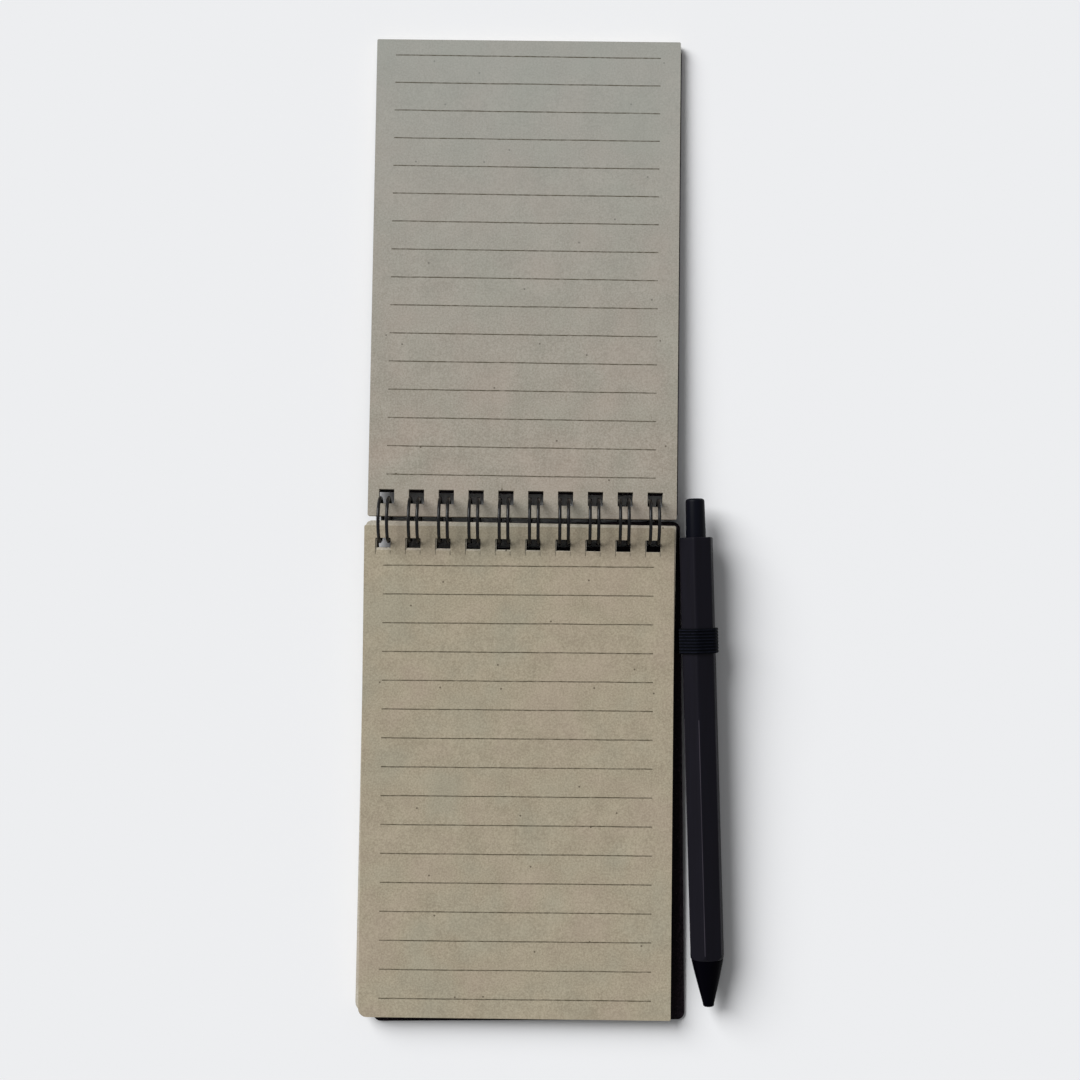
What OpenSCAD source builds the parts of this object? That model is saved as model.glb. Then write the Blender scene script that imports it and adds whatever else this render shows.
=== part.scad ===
// Reporter's notebook with a twin-loop wire across its top, lying open flat, with a pen held
// in an elastic loop beside it.
// X runs along the wire, +Y towards the turned pages, -Y towards the pages still to be
// written on, +Z up. Everything stands on z = 0.

/* [Sheets] */
// Width of a page
page_w = 87.6; // [70:0.1:88]
// Length of a page, from the punched edge
page_l = 138; // [125:0.5:150]
// Thickness of the pages still to be written on
block_t = 3.8; // [2.5:0.1:4]
// Thickness of the few top sheets that have slid outwards
top_sheets_t = 0.3; // [0.1:0.1:0.6]
// Thickness of the pages already turned
turned_t = 2.1; // [1.5:0.1:2.4]
// Paper left between a page's edge and its holes
page_margin = 3.5; // [2.5:0.1:3.6]
// How far the page lies to the right of its row of holes
page_shift = 0.4; // [0:0.05:0.6]
// Radius of the worn corners of the page block
worn_corner_r = 1.7; // [0.5:0.1:4]
// Radius of the other page corners
page_corner_r = 0.4; // [0.2:0.1:2]

/* [Covers] */
// Width of a cover
cover_w = 87.8; // [70:0.1:89]
// Length of the rear cover
rear_cover_l = 140.5; // [127:0.5:152]
// Length of the front cover
front_cover_l = 137; // [124:0.5:149]
// Thickness of a cover
cover_t = 0.8; // [0.6:0.1:1]
// Board left between a cover's edge and its holes
cover_margin = 2.9; // [2.4:0.1:2.9]
// How far the rear cover lies to the right of its row of holes
rear_shift = 1.5; // [0:0.1:2]
// How far the front cover lies to the right of its row of holes
front_shift = 0.75; // [0:0.05:1]
// Radius of the cover corners
cover_corner_r = 2; // [0.5:0.1:6]

/* [Lie of the sheets] */
// Turn of the rear cover on the wire, to the right at its foot
rear_skew = 1; // [0:0.05:1.1]
// Turn of the front cover on the wire
front_skew = 0.2; // [0:0.05:0.5]
// Turn of the main page block
block_skew = 0.5; // [0:0.05:0.6]
// Turn of the turned sheets
turned_skew = 0.2; // [0:0.05:0.5]
// Play left between the holes of the block and the wire
block_slack = 0.4; // [0.1:0.05:0.6]
// Height left between the rear cover and the page block
pad_gap = 0.1; // [0.05:0.05:0.3]
// Height left between the two stacks when the notebook is shut
closing_gap = 0.2; // [0.1:0.05:0.4]

/* [Binding] */
// Number of twin loops
loops = 10; // [6:1:10]
// Distance from one loop to the next
loop_pitch = 8.467; // [8.2:0.001:8.6]
// Radius of a loop, to the middle of its wire
ring_r = 6.2; // [6.1:0.05:6.4]
// Thickness of the wire
wire_d = 0.95; // [0.8:0.05:1]
// Distance between the two wires of a loop
twin_w = 2.4; // [2.2:0.05:2.6]
// Radius of the bends that lead into the straight links
elbow_r = 1; // [0.9:0.05:1.2]
// Width of a punched hole, along the wire
hole_w = 4.35; // [4.1:0.05:4.6]
// Length of a punched hole
hole_l = 4.1; // [3.9:0.05:4.4]
// Room left between a loop and the paper inside it
wire_gap = 0.1; // [0.05:0.05:0.15]
// Where the loops close, in degrees past the lowest point
seam_angle = 28; // [22:1:32]
// Length of the cut stubs at the wire's two ends
stub_l = 0.6; // [0.3:0.1:1]

/* [Pen loop] */
// Width of the elastic band
band_w = 7; // [5:0.5:10]
// Thickness of the elastic band
band_t = 0.8; // [0.6:0.1:1]
// Length of the glued end, from the edge of the cover
tail_l = 10; // [6:1:20]
// Thickness of the glued end, which is let into the cover
tail_t = 0.35; // [0.2:0.05:0.45]
// Distance of the band from the wire
band_y = 33.2; // [32:0.1:45]
// Gap between the band and the barrel
band_gap = 0.05; // [0.02:0.01:0.1]

/* [Pen] */
// Width of the barrel from corner to corner, before its corners are rounded off
barrel_w = 10.3; // [10:0.1:10.6]
// Width over the rounded corners
barrel_round_w = 10; // [9.6:0.1:10.2]
// Length of the barrel
barrel_l = 118; // [115:0.5:122]
// Length of the barrel above the middle of the elastic band
barrel_above_band = 29; // [24:0.5:30]
// Turn of the barrel about its own length
pen_roll = 12; // [0:1:15]
// Lean of the pen to the right, at its foot
pen_lean = 2; // [1.5:0.1:3]
// Bore of the barrel
bore_d = 6.8; // [6.6:0.1:7]
// Wall that closes the barrel round the button
collar_t = 2; // [1:0.1:3]
// Length of the nose cone
nose_l = 13.2; // [12:0.1:16]
// Width of the nose at its end
nose_end_d = 3.2; // [3.2:0.1:4]
// Length of the spigot that plugs the nose into the barrel
spigot_l = 8; // [5:0.5:10]
// Length of the button outside the barrel
button_l = 11; // [9:0.5:13]
// Thickness of the button
button_d = 5.6; // [5.2:0.1:5.8]
// Radius of the button's rim
button_rim_r = 1; // [0.3:0.1:1.5]
// Travel of the button
click_travel = 4.5; // [3:0.1:5]
// Running clearance of the button and the cam in the barrel, on radius
pen_clearance = 0.15; // [0.1:0.05:0.2]
// Thickness of the refill tube
refill_d = 3; // [2.6:0.1:3.2]
// Thickness of the spring's wire
spring_wire_d = 0.4; // [0.3:0.05:0.5]
// Length of the spring, with the button out
spring_l = 17.85; // [14:0.05:20]
// Turns of the spring
spring_turns = 9; // [5:1:11]
// Number of teeth on the button's crown
crown_teeth = 8; // [6:2:12]
// Height of the crown's teeth
crown_h = 1.2; // [0.8:0.1:1.5]

/* [Hidden] */
$fn = 48;
wire_fn = 24;
overlap = 0.02;
cover_black = "#15130f";
paper_tan = "#a09785";
wire_black = "#1a1a1e";
barrel_black = "#1b1b23";

// Heights inside the rings, from their common axis
axis_z = ring_r + wire_d / 2;
stacks_t = 2 * cover_t + pad_gap + block_t + turned_t + closing_gap;
stack_low = stacks_t / 2;
block_low = stack_low - cover_t - pad_gap;
block_high = block_t - block_low;
turned_low = stack_low - cover_t;

// Near edge of each sheet: its holes reach as far out as the rings let them
row_half = (loops - 1) * loop_pitch / 2;
row_end = row_half + twin_w / 2 + wire_d / 2;
function inside_ring(h) = sqrt(pow(ring_r - wire_d / 2 - wire_gap, 2) - h * h);
function near_edge(h, skew, margin) = inside_ring(h) - row_end * sin(skew) - margin;
rear_edge = near_edge(stack_low, rear_skew, cover_margin);
front_edge = near_edge(stack_low, front_skew, cover_margin);
block_edge = near_edge(block_low, block_skew, page_margin) - block_slack;
top_edge = near_edge(max(block_high, top_sheets_t - block_high), 0, page_margin) - block_slack;
turned_edge = near_edge(turned_low, turned_skew, page_margin);

// Where each row of holes sits beside the middle of the wire, within the holes' play
side_play = (hole_w - twin_w - wire_d) / 2;
rear_row = 0.4 * side_play;
front_row = 0.6 * side_play;
block_row = 0.2 * side_play;
top_row = -0.6 * side_play;
turned_row = 0.7 * side_play;

// Farthest reach of a turned sheet from the rings, and the lean that lets it touch the table
function reach(edge, l, skew, half_w, r) = r + (edge + l - r) * cos(skew) + (half_w - r) * sin(skew);
function lean(far) = asin(axis_z / norm([far, stack_low])) - atan(stack_low / far);
rear_reach = reach(rear_edge, rear_cover_l, rear_skew, cover_w / 2 - rear_shift, cover_corner_r);
front_reach = reach(front_edge, front_cover_l, front_skew, cover_w / 2 - front_shift, cover_corner_r);
turned_reach = reach(turned_edge, page_l, turned_skew, page_w / 2 - page_shift, page_corner_r);
rear_lean = lean(rear_reach);
front_lean = lean(front_reach);

// Pen: beside the shut front cover, its barrel just clear of the table
band_out = barrel_round_w / 2 + band_gap + band_t;
shut_edge_x = front_row + front_shift + cover_w / 2 + (band_y + band_w / 2) * sin(front_skew);
pen_x = shut_edge_x + band_out;
table_gap = 0.1;
foot_reach = band_y + (barrel_l - barrel_above_band) * cos(pen_lean);
pen_h = barrel_round_w / 2 + table_gap - (rear_reach - foot_reach) * sin(rear_lean);
cover_edge_x = rear_row + rear_shift + cover_w / 2 + band_y * sin(rear_skew) - pen_x;
cover_face = pen_h - cover_t;

// Stations along the pen's axis, from the middle of the band
barrel_top = barrel_above_band;
barrel_foot = barrel_top - barrel_l;
nose_foot = barrel_foot - nose_l;
collar_low = barrel_top - collar_t;
stop_gap = 0.05;
spline_d = bore_d - 2 * pen_clearance;
spline_w = 1.2;
spline_l = 4;
button_foot = collar_low - 8;
crown_gap = 0.15;
cam_top = button_foot - crown_gap;
cam_l = 9;
cam_foot = cam_top - cam_l;
cam_spline_top = cam_top - crown_h - 0.5;
guide_foot = cam_spline_top - click_travel + 0.3;
refill_seat = 5;
refill_bore_d = refill_d - 0.9;
seat_gap = 0.02;

// Tip, spring and nose
tip_d = 2.2;
tip_collar_d = refill_d + 0.9;
tip_collar_t = 1;
tip_bore_d = tip_d + 0.3;
tip_inset = 1.2;
tip_foot = nose_foot + tip_inset;
mouth_land = 6.2;
spring_low = nose_foot + mouth_land;
spring_high = spring_low + spring_l;
refill_foot = spring_high + tip_collar_t;
refill_l = cam_foot + refill_seat - refill_foot;
spring_r = tip_collar_d / 2 - spring_wire_d / 2 + 0.3;
nose_bore_d = 2 * spring_r + spring_wire_d + 0.5;

// Middle of the floor outline
pen_right = pen_x + (barrel_l - barrel_above_band) * sin(pen_lean) + barrel_round_w / 2 * cos(3);
block_reach = block_edge + page_l - worn_corner_r;
pages_left = page_w / 2 - page_shift - block_row + block_reach * sin(block_skew);
origin_x = (pen_right - pages_left) / 2;
origin_y = (max(front_reach, turned_reach) - rear_reach) / 2;

// Places

module placed() {
    translate([-origin_x, -origin_y, axis_z]) children();
}

// Sheets under the pen's side of the wire: y runs away from the rings along the stack
module rear_side(skew, row) {
    placed() rotate([rear_lean, 0, 0]) translate([row, 0, 0]) rotate(skew) mirror([0, 1, 0]) children();
}

module front_side(skew, row) {
    placed() rotate([-front_lean, 0, 0]) translate([row, 0, 0]) rotate(-skew) children();
}

// z runs along the pen to its button, from the middle of the band; y runs down to the cover
module pen_axis() {
    placed() rotate([rear_lean, 0, 0]) translate([pen_x, -band_y, pen_h - stack_low])
        rotate(pen_lean) rotate([-90, 0, 0]) children();
}

// Sheets

module corner_waste(r) {
    difference() {
        translate([-1, -1]) square(r + 1);
        translate([r, r]) circle(r);
    }
}

// Flat outline with its punched edge on y = 0, and the radii of its corners in turn
module sheet_outline(w, l, shift, radii) {
    difference() {
        translate([shift - w / 2, 0]) square([w, l]);
        translate([shift - w / 2, 0]) corner_waste(radii[0]);
        translate([shift + w / 2, 0]) mirror([1, 0]) corner_waste(radii[1]);
        translate([shift + w / 2, l]) mirror([1, 0]) mirror([0, 1]) corner_waste(radii[2]);
        translate([shift - w / 2, l]) mirror([0, 1]) corner_waste(radii[3]);
    }
}

module hole_row(margin) {
    for (i = [0:loops - 1]) {
        translate([i * loop_pitch - row_half - hole_w / 2, margin]) square([hole_w, hole_l]);
    }
}

module punched_sheet(w, l, t, margin, shift, radii) {
    linear_extrude(t) difference() {
        sheet_outline(w, l, shift, radii);
        hole_row(margin);
    }
}

module page_sheet(t, radii) {
    punched_sheet(page_w, page_l, t, page_margin, page_shift, radii);
}

module cover_sheet(l, shift) {
    r = cover_corner_r;
    punched_sheet(cover_w, l, cover_t, cover_margin, shift, [r, r, r, r]);
}

module rear_cover() {
    color(cover_black) difference() {
        rear_side(rear_skew, rear_row) translate([0, rear_edge, -stack_low])
            cover_sheet(rear_cover_l, rear_shift);
        pen_axis() tail(seat_gap, 1);
    }
}

module front_cover() {
    color(cover_black) front_side(front_skew, front_row)
        translate([0, front_edge, -stack_low]) cover_sheet(front_cover_l, front_shift);
}

// The main block and the few loose sheets on it, which lie a little askew to each other
module page_block() {
    sharp = page_corner_r;
    worn = worn_corner_r;
    color(paper_tan) union() {
        rear_side(-block_skew, block_row) translate([0, block_edge, -block_low])
            page_sheet(block_t - top_sheets_t + overlap, [worn, sharp, sharp, worn]);
        rear_side(0, top_row) translate([0, top_edge, block_high - top_sheets_t])
            page_sheet(top_sheets_t, [sharp, sharp, sharp, worn]);
    }
}

module turned_pages() {
    r = page_corner_r;
    color(paper_tan) front_side(turned_skew, turned_row)
        translate([0, turned_edge, -turned_low]) page_sheet(turned_t, [r, r, r, r]);
}

// Binding: one wire bent into hairpins that run round the pages and close under the rear
// cover. Each hairpin starts at the link to its neighbour; its round tip tucks in beside it.

start_angle = round(seam_angle + elbow_r / ring_r * 180 / PI);
tip_angle = round(363 + seam_angle - (twin_w + wire_d) / 2 / ring_r * 180 / PI);

// Turns a piece at the loop's lowest point round the axis, to the rear cover's side
module on_ring(angle) {
    rotate([-angle, 0, 0]) translate([0, 0, -ring_r]) children();
}

module bent_wire(r, angle) {
    rotate_extrude(angle = angle) translate([r, 0]) circle(d = wire_d, $fn = wire_fn);
}

module loop_arm() {
    on_ring(start_angle) translate([0, 0, ring_r]) mirror([0, 1, 0]) rotate([0, 90, 0])
        bent_wire(ring_r, tip_angle - start_angle);
}

// From the arm's start sideways into the link to the next loop
module elbow() {
    on_ring(start_angle) translate([elbow_r, 0, 0]) rotate(90) bent_wire(elbow_r, 90);
}

module link(l) {
    on_ring(start_angle) translate([elbow_r, elbow_r, 0]) rotate([0, 90, 0])
        cylinder(d = wire_d, h = l, $fn = wire_fn);
}

// Hairpin end, with a slight bead where it meets each arm
module round_tip() {
    on_ring(tip_angle) {
        rotate(180) bent_wire(twin_w / 2, 180);
        for (side = [-1, 1]) {
            translate([side * twin_w / 2, 0, 0]) sphere(d = wire_d + 0.03, $fn = wire_fn);
        }
    }
}

module binding_wire() {
    link_l = loop_pitch - twin_w - 2 * elbow_r;
    color(wire_black) placed() for (i = [0:loops - 1]) {
        translate([i * loop_pitch - row_half, 0, 0]) {
            round_tip();
            translate([twin_w / 2, 0, 0]) {
                loop_arm();
                elbow();
                link(i == loops - 1 ? stub_l : link_l);
            }
            translate([-twin_w / 2, 0, 0]) {
                loop_arm();
                mirror([1, 0, 0]) elbow();
                if (i == 0) mirror([1, 0, 0]) link(stub_l);
            }
        }
    }
}

// Six-sided section of the barrel with rounded corners, grown by a margin
module barrel_section(grow) {
    intersection() {
        rotate(-90 - pen_roll) circle(d = barrel_w + 2 * grow / cos(30), $fn = 6);
        circle(d = barrel_round_w + 2 * grow);
    }
}

// Glued end of the band, let into the inner face of the rear cover
module tail(room, above) {
    translate([cover_edge_x - tail_l - room, cover_face - above, -band_w / 2 - room])
        cube([tail_l + 0.5 + room, tail_t + above, band_w + 2 * room]);
}

module pen_loop() {
    root_x = -barrel_w / 4;
    color("#101014") pen_axis() union() {
        tail(0, 0);
        translate([0, 0, -band_w / 2]) linear_extrude(band_w) difference() {
            union() {
                barrel_section(band_t + band_gap);
                polygon([[cover_edge_x + 0.2, cover_face], [cover_edge_x + 0.2, cover_face + tail_t],
                    [root_x, cover_face + tail_t], [root_x, cover_face - band_t]]);
            }
            barrel_section(band_gap);
        }
    }
}

// Pen. The button and the cam below it both slide in the barrel on four splines, and the
// button's crown of teeth nests in the cam's. Pressed home, the cam drops out of the guides.

module spline_section(grow) {
    circle(d = button_d + 2 * grow);
    intersection() {
        circle(d = spline_d + 3 * grow);
        for (a = [0, 90]) {
            rotate(a) square([bore_d, spline_w + 2 * grow], center = true);
        }
    }
}

module pen_barrel() {
    color(barrel_black) pen_axis() difference() {
        translate([0, 0, barrel_foot]) linear_extrude(barrel_l) barrel_section(0);
        translate([0, 0, barrel_foot - 1]) cylinder(d = bore_d, h = guide_foot - barrel_foot + 1);
        translate([0, 0, guide_foot - overlap]) linear_extrude(collar_low - guide_foot + overlap)
            spline_section(pen_clearance);
        translate([0, 0, collar_low - 1]) cylinder(d = button_d + 2 * pen_clearance, h = collar_t + 2);
    }
}

module pen_nose() {
    end_r = 1;
    mouth_r = nose_end_d / 2;
    color("#08070d") pen_axis() difference() {
        union() {
            intersection() {
                translate([0, 0, nose_foot]) linear_extrude(nose_l) barrel_section(0);
                translate([0, 0, nose_foot]) rotate_extrude() union() {
                    polygon([[0, end_r], [mouth_r, end_r], [barrel_w / 2, nose_l], [0, nose_l]]);
                    square([mouth_r - end_r, end_r]);
                    intersection() {
                        translate([mouth_r - end_r, end_r]) circle(end_r);
                        square([mouth_r, 2 * end_r]);
                    }
                }
            }
            translate([0, 0, barrel_foot - overlap]) cylinder(d = bore_d - 2 * seat_gap, h = spigot_l);
        }
        translate([0, 0, nose_foot - 1]) cylinder(d = tip_bore_d, h = nose_l);
        translate([0, 0, spring_low]) cylinder(d = nose_bore_d, h = nose_l + spigot_l);
    }
}

// Triangular teeth of a crown, as ridges that run through its middle
module crown_ridges() {
    half_w = spline_d / 2 * tan(180 / crown_teeth);
    for (i = [0:crown_teeth / 2 - 1]) {
        rotate(i * 360 / crown_teeth) rotate([90, 0, 0]) translate([0, 0, -spline_d / 2])
            linear_extrude(spline_d) polygon([[-half_w, overlap], [half_w, overlap], [0, -crown_h]]);
    }
}

module pen_button() {
    rim = button_rim_r;
    button_r = button_d / 2;
    button_h = barrel_top + button_l - button_foot;
    color("#13131b") pen_axis() union() {
        translate([0, 0, button_foot]) rotate_extrude() union() {
            square([button_r, button_h - rim]);
            square([button_r - rim, button_h]);
            translate([button_r - rim, button_h - rim]) intersection() {
                circle(rim);
                square(rim);
            }
        }
        translate([0, 0, collar_low - spline_l - stop_gap]) linear_extrude(spline_l) spline_section(0);
        intersection() {
            translate([0, 0, button_foot]) crown_ridges();
            translate([0, 0, button_foot - crown_h]) cylinder(d = button_d, h = crown_h + overlap);
        }
    }
}

module pen_cam() {
    color("#d8d8d4") pen_axis() difference() {
        union() {
            translate([0, 0, cam_foot]) cylinder(d = button_d, h = cam_l);
            translate([0, 0, cam_spline_top - spline_l]) linear_extrude(spline_l) spline_section(0);
        }
        translate([0, 0, cam_top]) crown_ridges();
        translate([0, 0, cam_foot - 1]) cylinder(d = refill_d + 2 * seat_gap, h = refill_seat + 1);
    }
}

module refill_tube() {
    color("#e8e8e2") pen_axis() translate([0, 0, refill_foot]) difference() {
        cylinder(d = refill_d, h = refill_l);
        translate([0, 0, -1]) cylinder(d = refill_bore_d, h = refill_l + 2);
    }
}

module refill_tip() {
    ball_r = 0.35;
    neck_l = 3;
    plug_l = 4;
    tip_l = refill_foot - tip_foot;
    plug_r = refill_bore_d / 2 - seat_gap;
    color("#b9a468") pen_axis() translate([0, 0, tip_foot]) rotate_extrude() union() {
        polygon([[0, ball_r], [ball_r, ball_r], [tip_d / 2, neck_l], [tip_d / 2, tip_l - tip_collar_t],
            [tip_collar_d / 2, tip_l - tip_collar_t], [tip_collar_d / 2, tip_l], [plug_r, tip_l],
            [plug_r, tip_l + plug_l], [0, tip_l + plug_l]]);
        intersection() {
            translate([0, ball_r]) circle(ball_r, $fn = 24);
            square([ball_r, 2 * ball_r]);
        }
    }
}

// Coil spring round the tip, in half turns that each lean the other way, with a slight bead
// where two of them meet
module pen_spring() {
    half_turns = 2 * spring_turns;
    coil_low = spring_low + stop_gap + spring_wire_d / 2;
    coil_l = spring_high - stop_gap - spring_wire_d / 2 - coil_low;
    rise = coil_l / half_turns;
    arc_r = norm([2 * spring_r, rise]) / 2;
    slope = atan(rise / 2 / spring_r);
    color("silver") pen_axis() for (k = [0:half_turns - 1]) {
        translate([0, 0, coil_low + (k + 0.5) * rise]) rotate(k * 180) {
            rotate([0, slope, 0]) rotate_extrude(angle = 180) translate([arc_r, 0])
                circle(d = spring_wire_d, $fn = 14);
            if (k > 0) translate([spring_r, 0, -rise / 2]) sphere(d = spring_wire_d + 0.03, $fn = 14);
        }
    }
}

rear_cover();
front_cover();
page_block();
turned_pages();
binding_wire();
pen_loop();
pen_barrel();
pen_nose();
pen_button();
pen_cam();
pen_spring();
refill_tube();
refill_tip();
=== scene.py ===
# Reporter's notebook with a twin-loop wire, open flat, and a push-button pen in its elastic loop.
# Lengths are written in millimetres and turned to metres when a mesh is finished.

import math
import random

import bmesh
import bpy
from mathutils import Matrix, Vector


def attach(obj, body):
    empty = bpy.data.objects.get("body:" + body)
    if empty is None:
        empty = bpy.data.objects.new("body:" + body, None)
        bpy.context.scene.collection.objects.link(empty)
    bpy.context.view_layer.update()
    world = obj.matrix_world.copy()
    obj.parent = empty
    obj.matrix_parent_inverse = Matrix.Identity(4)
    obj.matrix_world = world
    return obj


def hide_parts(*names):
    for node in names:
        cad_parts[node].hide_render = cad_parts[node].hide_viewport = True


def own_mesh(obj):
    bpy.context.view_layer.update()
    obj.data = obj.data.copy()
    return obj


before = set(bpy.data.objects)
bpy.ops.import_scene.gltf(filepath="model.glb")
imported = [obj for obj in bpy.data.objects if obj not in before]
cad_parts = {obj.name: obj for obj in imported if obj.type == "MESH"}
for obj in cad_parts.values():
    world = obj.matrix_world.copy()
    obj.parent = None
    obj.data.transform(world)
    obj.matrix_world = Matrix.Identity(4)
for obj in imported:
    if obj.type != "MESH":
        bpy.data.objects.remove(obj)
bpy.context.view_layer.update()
random.seed(7)

# Where the notebook's parts lie, as in the frame
lay = {
    "originX": 7.2667, "originY": -1.2196,    # the frame's origin, from the middle of the wire
    "axisZ": 6.675,                           # height of the rings' axis over the table
    "stackLow": 3.9,                          # from that axis down to the covers' undersides
    "rearLean": 1.1229, "frontLean": 1.1512,  # degrees by which the two halves lean
}
mergeWithin = 0.00005  # points nearer to each other than this become one
ledge = 0.01           # a flat step falls by this much, so that its two rings stay apart


# Small helpers for places and meshes

def turned(degrees, axis):
    return Matrix.Rotation(math.radians(degrees), 4, axis)


def moved(x, y, z):
    return Matrix.Translation((x, y, z))


def framePoint(x, y, z=0):  # metres in the frame, from millimetres off the middle of the wire
    return (x - lay["originX"]) / 1000, (y - lay["originY"]) / 1000, z / 1000


toTable = Matrix.Scale(0.001, 4) @ moved(-lay["originX"], -lay["originY"], lay["axisZ"])
rearPlane = toTable @ turned(lay["rearLean"], "X")     # pages still to be written on, towards -Y
frontPlane = toTable @ turned(-lay["frontLean"], "X")  # turned pages, towards +Y


def vertsIn(geometry):
    return [v for v in geometry if isinstance(v, bmesh.types.BMVert)]


def edgesIn(geometry):
    return [e for e in geometry if isinstance(e, bmesh.types.BMEdge)]


def edgesAt(verts):  # each edge once
    return list(dict.fromkeys(e for v in verts for e in v.link_edges))


def closeRing(bm, edges):
    bmesh.ops.contextual_create(bm, geom=edges)


def spun(bm, edges, centre, axis, angle, steps, rise=0.0):  # sweeps a ring of edges about an axis
    made = bmesh.ops.spin(bm, geom=edges, cent=centre, axis=axis, dvec=(0, 0, rise), angle=angle,
                          steps=steps, use_merge=False, use_duplicate=False)
    return edgesIn(made["geom_last"])


def finishPiece(name, bm, place, body, materials, replaces, sharp):
    bmesh.ops.remove_doubles(bm, verts=bm.verts, dist=mergeWithin)
    bmesh.ops.transform(bm, matrix=place, verts=bm.verts)
    bmesh.ops.recalc_face_normals(bm, faces=bm.faces)
    mesh = bpy.data.meshes.new(name)
    bm.to_mesh(mesh)
    bm.free()
    for material in materials:
        mesh.materials.append(material)
    if sharp:  # degrees from which an edge is sharp; with 0 every face stays flat
        mesh.shade_smooth()
        mesh.set_sharp_from_angle(angle=math.radians(sharp))
    piece = bpy.data.objects.new(name, mesh)
    bpy.context.collection.objects.link(piece)
    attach(piece, body)
    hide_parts(*replaces)
    return piece


# Small helpers for materials

def toLinear(hexText):  # sRGB hex to the linear colour that a socket takes
    channels = [int(hexText[i:i + 2], 16) / 255 for i in (1, 3, 5)]
    return [c / 12.92 if c <= 0.04045 else ((c + 0.055) / 1.055) ** 2.4 for c in channels] + [1]


def frequency(size):  # pattern scale on metre coordinates, from a real size in millimetres
    return 1000 / size


def addNode(tree, kind, settings=None, links=None):
    node = tree.nodes.new(kind)
    for key, value in (settings or {}).items():
        if key in node.inputs:
            node.inputs[key].default_value = value
        else:
            setattr(node, key, value)
    for key, source in (links or {}).items():
        tree.links.new(source, node.inputs[key])
    return node


def startMaterial(name, **sockets):
    material = bpy.data.materials.new(name)
    material.use_nodes = True
    tree = material.node_tree
    shader = tree.nodes["Principled BSDF"]
    for key, value in sockets.items():
        shader.inputs[key.replace("_", " ")].default_value = value
    place = addNode(tree, "ShaderNodeTexCoord").outputs["Object"]
    return material, tree, shader, place


def calculate(tree, operation, *values, clamp=False):  # each value is a number or an output
    node = addNode(tree, "ShaderNodeMath", {"operation": operation, "use_clamp": clamp})
    for index, value in enumerate(values):
        if isinstance(value, (int, float)):
            node.inputs[index].default_value = value
        else:
            tree.links.new(value, node.inputs[index])
    return node.outputs[0]


def mapRange(tree, source, fromLow, fromHigh, low=0.0, high=1.0):
    settings = {"From Min": fromLow, "From Max": fromHigh, "To Min": low, "To Max": high}
    return addNode(tree, "ShaderNodeMapRange", settings, {"Value": source}).outputs[0]


def blendColours(tree, factor, low, high):  # low and high are hex colours or outputs
    node = addNode(tree, "ShaderNodeMix", {"data_type": "RGBA", "clamp_factor": True})
    tree.links.new(factor, node.inputs[0])
    for index, colour in ((6, low), (7, high)):
        if isinstance(colour, str):
            node.inputs[index].default_value = toLinear(colour)
        else:
            tree.links.new(colour, node.inputs[index])
    return node.outputs[2]


def noise(tree, place, size, detail, **more):
    settings = {"Scale": frequency(size), "Detail": detail, **more}
    return addNode(tree, "ShaderNodeTexNoise", settings, {"Vector": place}).outputs["Fac"]


def scatteredSpecks(tree, place, spacing, radius, strength):  # one soft dot in each cell, in mm
    cells = addNode(tree, "ShaderNodeTexVoronoi",
                    {"voronoi_dimensions": "2D", "Scale": frequency(spacing)}, {"Vector": place})
    share = radius / spacing
    return mapRange(tree, cells.outputs["Distance"], share, share / 2, 0, strength)


def levelness(tree):  # 1 on a face that lies flat, 0 on one that stands upright
    normal = addNode(tree, "ShaderNodeNewGeometry").outputs["Normal"]
    axes = addNode(tree, "ShaderNodeSeparateXYZ", None, {"Vector": normal})
    return calculate(tree, "ABSOLUTE", axes.outputs["Z"])


def addBump(tree, shader, height, strength, depth):
    bump = addNode(tree, "ShaderNodeBump", {"Strength": strength, "Distance": depth / 1000},
                   {"Height": height})
    tree.links.new(bump.outputs[0], shader.inputs["Normal"])


# Camera, at the photograph's place over the table

camera = {
    "x": 10.5, "y": -26, "z": 480,  # x and y from the middle of the wire, z over the table
    "tilt": (2.5, 0.55, 0.58),      # degrees about X, Y and Z
    "lens": 55.9, "sensor": 36, "nearest": 10,
}


def addCamera():
    data = bpy.data.cameras.new("camera")
    data.lens = camera["lens"]
    data.sensor_width = camera["sensor"]
    data.clip_start = camera["nearest"] / 1000
    lens = bpy.data.objects.new("camera", data)
    bpy.context.collection.objects.link(lens)
    around, across, roll = camera["tilt"]
    stand = moved(*framePoint(camera["x"], camera["y"], camera["z"]))
    lens.matrix_world = stand @ turned(around, "X") @ turned(across, "Y") @ turned(roll, "Z")
    bpy.context.scene.camera = lens


addCamera()
print("camera set")


# Light: a broad soft lamp from the upper left over an even pale room. On a flat sheet the two
# add up to a plain level, at which a colour shows as it is written. The table is a pale matt
# board that takes the shadows and shows no shine.

room = {
    "lampFrom": (-0.66, 0.55, 0.6), "lampSpread": 42, "lampShare": 0.77, "light": "#ffffff",
    "tableColour": "#edeef0", "tableRoughness": 0.9, "tableSize": 4000,
}


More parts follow.
